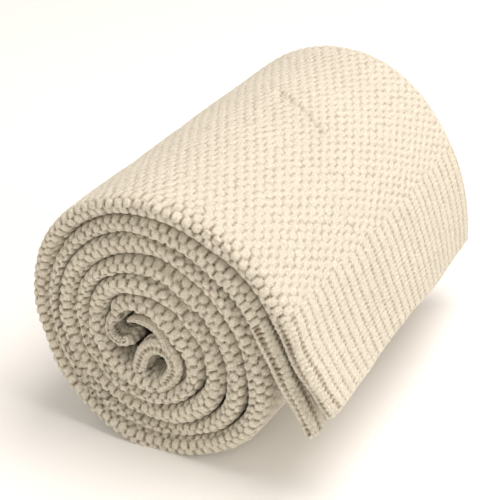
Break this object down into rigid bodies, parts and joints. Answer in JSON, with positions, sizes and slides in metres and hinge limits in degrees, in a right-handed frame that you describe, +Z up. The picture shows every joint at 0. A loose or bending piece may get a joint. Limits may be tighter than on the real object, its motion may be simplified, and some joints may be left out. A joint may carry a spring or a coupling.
{
  "type": "throw blanket",
  "caption": "Chunky knitted throw, folded lengthwise and rolled into a bolster, with a ribbed end that hangs free and peels away.",
  "frame": {"origin": "bottom centre of the rolled throw, on the surface it rests on", "axes": "+Y along the roll, from the end that shows two folds to the end that shows the centre fold; +Z up; the free ribbed end hangs on the +X side"},
  "size_m": [0.2568, 0.3174, 0.2112],
  "materials": {
    "moss_knit": "chunky moss-stitch cotton knit, matt cream",
    "rib_knit": "one-by-one rib cotton knit, matt cream",
    "chain_edge": "chained cotton edge, matt cream"
  },
  "bodies": {
    "roll": {"moss_panel_outer_fold": "moss_knit", "moss_panel_inner_fold": "moss_knit", "centre_fold": "moss_knit", "back_edge_ply_a": "moss_knit", "back_edge_ply_d": "moss_knit", "start_rib_outer_fold": "rib_knit", "start_rib_inner_fold": "rib_knit", "start_corner_tuck": "rib_knit", "cast_on_chain_outer_fold": "chain_edge", "cast_on_chain_inner_fold": "chain_edge", "left_selvedge": "chain_edge", "right_selvedge": "chain_edge"},
    "free_end": {"end_rib_outer_fold": "rib_knit", "end_rib_inner_fold": "rib_knit", "end_rib_centre_fold": "rib_knit", "end_rib_back_edge_ply_a": "rib_knit", "end_rib_back_edge_ply_d": "rib_knit", "bind_off_chain_outer_fold": "chain_edge", "bind_off_chain_inner_fold": "chain_edge", "left_selvedge_end": "chain_edge", "right_selvedge_end": "chain_edge"}
  },
  "joints": [
    {"name": "free_end_peel", "type": "hinge", "parent": "roll", "child": "free_end", "pos_m": [0.07667, 0, 0.13125], "axis": [0, -1, 0], "range_deg": [0, 75]}
  ]
}
